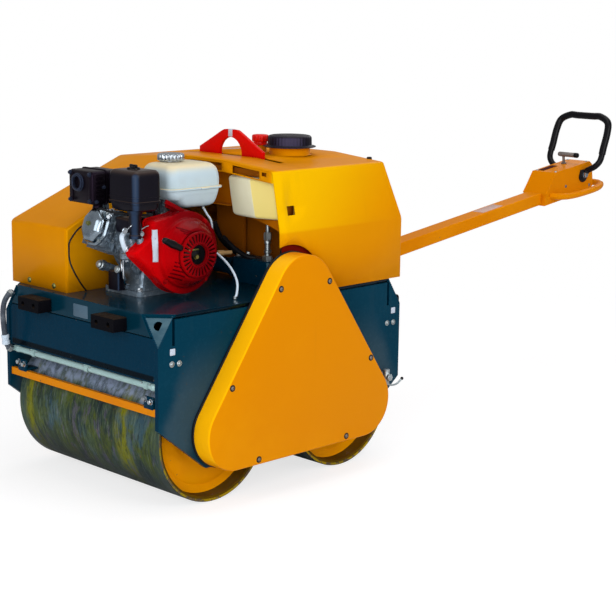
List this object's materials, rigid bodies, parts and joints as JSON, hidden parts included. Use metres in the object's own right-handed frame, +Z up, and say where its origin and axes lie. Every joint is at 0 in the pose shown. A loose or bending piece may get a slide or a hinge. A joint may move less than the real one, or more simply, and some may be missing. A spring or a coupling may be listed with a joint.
{
  "type": "walk-behind roller",
  "caption": "Walk-behind double-drum vibrating roller with an open petrol engine, folded sheet hood, drive-chain cover, lifting eye and a hinged steering drawbar with travel hoop.",
  "frame": {"origin": "centre of the base of the overall box, on the ground", "axes": "-Y forwards, +Y rearwards along the drawbar, +X to the machine's left (chain side), +Z up"},
  "size_m": [0.7854, 2.5268, 1.001],
  "materials": {
    "alloy": "cast and painted silver",
    "bar_paint": "glossy orange enamel, worn at the edges",
    "black_paint": "satin black enamel",
    "black_plastic": "moulded",
    "chrome": "polished",
    "cover_paint": "glossy yellow-orange enamel",
    "cream_plastic": "moulded, lightly soiled",
    "drum_steel": "worn rolled steel with drying mud and water streaks",
    "frame_paint": "satin dark teal-blue enamel",
    "red_paint": "glossy red enamel",
    "red_plastic": "moulded",
    "rubber": "matt",
    "white_plastic": "milky translucent",
    "zinc": "zinc plated"
  },
  "bodies": {
    "chassis": {"side_plate_left": "frame_paint", "side_plate_right": "frame_paint", "deck": "frame_paint", "front_plate": "frame_paint", "rear_plate": "frame_paint", "front_buffer_left": "rubber", "front_buffer_right": "rubber", "rear_buffer_left": "rubber", "rear_buffer_right": "rubber", "spray_bar_front": "zinc", "spray_bar_rear": "zinc", "scraper_front": "bar_paint", "scraper_rear": "bar_paint", "chain_cover": "cover_paint", "chain_cover_seal": "rubber", "hood_left_panel": "cover_paint", "hood_right_panel": "cover_paint", "hood_rear_panel": "cover_paint", "hood_roof": "cover_paint", "lifting_eye": "red_paint", "water_cap": "black_plastic", "oil_cap": "red_plastic", "oil_tank": "cream_plastic", "engine_block": "alloy", "rocker_cover": "chrome", "muffler": "black_paint", "air_cleaner": "black_plastic", "fuel_tank": "white_plastic", "fuel_cap": "chrome", "fan_cover": "red_paint", "recoil_ring": "red_paint", "starter_grip": "black_plastic", "pump": "frame_paint", "spray_hose": "rubber", "fuel_hose": "white_plastic", "drain_hose": "white_plastic", "throttle_cable": "rubber", "drain_valve": "zinc", "drawbar_bracket": "frame_paint"},
    "front_drum": {"drum_front": "drum_steel"},
    "rear_drum": {"drum_rear": "drum_steel"},
    "bar": {"drawbar": "bar_paint", "console_head": "bar_paint", "travel_hoop": "black_paint", "throttle_handle": "zinc"}
  },
  "joints": [
    {"name": "front_drum_roll", "type": "hinge", "parent": "chassis", "child": "front_drum", "pos_m": [-0.02975, -0.99425, 0.2], "axis": [1, 0, 0], "continuous": true},
    {"name": "rear_drum_roll", "type": "hinge", "parent": "chassis", "child": "rear_drum", "pos_m": [-0.02975, -0.48225, 0.2], "axis": [1, 0, 0], "continuous": true},
    {"name": "drawbar_lift", "type": "hinge", "parent": "chassis", "child": "bar", "pos_m": [-0.02975, -0.22125, 0.519], "axis": [1, 0, 0], "range_deg": [0, 80]}
  ]
}
